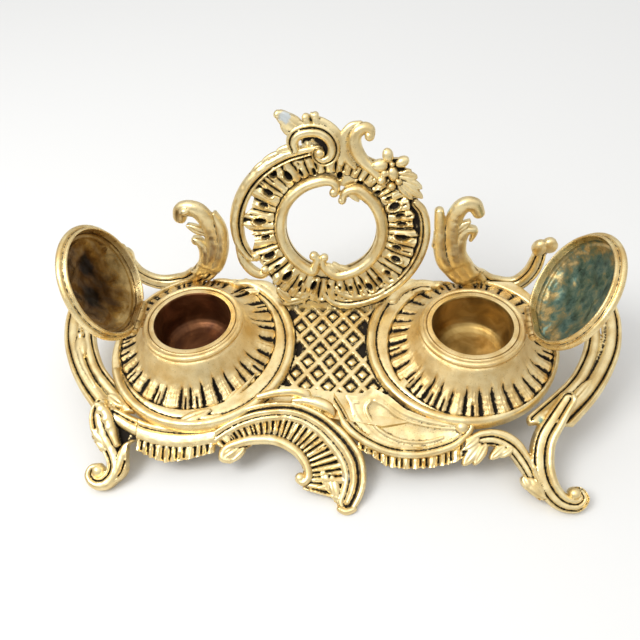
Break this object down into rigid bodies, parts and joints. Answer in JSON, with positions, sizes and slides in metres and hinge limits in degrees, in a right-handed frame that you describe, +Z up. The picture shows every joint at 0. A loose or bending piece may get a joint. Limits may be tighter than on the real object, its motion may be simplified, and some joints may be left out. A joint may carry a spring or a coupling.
{
  "type": "inkstand",
  "caption": "Double desk inkstand in cast brass: a scrolled tilted tray with two round wells under hinged domed lids, a trellis between them and a pierced medallion back.",
  "frame": {"origin": "middle of the base, on the table", "axes": "+X to the stand's right along its length, +Y to the back, +Z up"},
  "size_m": [0.3276, 0.1532, 0.1511],
  "materials": {
    "stand_brass": "polished antique, dark in the recesses",
    "well_brass": "satin",
    "left_lid_brass": "satin, brown inside",
    "right_lid_brass": "satin, tarnished inside",
    "left_cup_copper": "dull dark",
    "right_cup_brass": "satin",
    "hinge_brass": "worn",
    "screw_steel": "dull"
  },
  "bodies": {
    "stand": {"tray_casting": "stand_brass", "left_loop": "stand_brass", "right_loop": "stand_brass", "left_apron": "stand_brass", "front_arch": "stand_brass", "right_apron": "stand_brass", "rocaille_leaf": "stand_brass", "left_front_foot": "stand_brass", "right_front_foot": "stand_brass", "left_rear_foot": "stand_brass", "right_rear_foot": "stand_brass", "back_medallion": "stand_brass", "medallion_scrolls": "stand_brass", "crest_scrolls": "stand_brass", "flower_spray": "stand_brass", "left_arm": "stand_brass", "right_arm": "stand_brass", "left_well": "well_brass", "right_well": "well_brass", "left_ink_cup": "left_cup_copper", "right_ink_cup": "right_cup_brass", "left_well_knuckle": "hinge_brass", "right_well_knuckle": "hinge_brass", "left_hinge_pin": "hinge_brass", "right_hinge_pin": "hinge_brass", "well_screws": "screw_steel", "back_screws": "screw_steel"},
    "left_lid": {"left_lid": "left_lid_brass", "left_lid_hinge": "hinge_brass"},
    "right_lid": {"right_lid": "right_lid_brass", "right_lid_hinge": "hinge_brass"}
  },
  "joints": [
    {"name": "left_lid_hinge", "type": "hinge", "parent": "stand", "child": "left_lid", "pos_m": [-0.1083, 0.015, 0.0519], "axis": [0, 1, 0], "range_deg": [0, 113]},
    {"name": "right_lid_hinge", "type": "hinge", "parent": "stand", "child": "right_lid", "pos_m": [0.1083, 0.015, 0.0519], "axis": [0, -1, 0], "range_deg": [0, 123]}
  ]
}
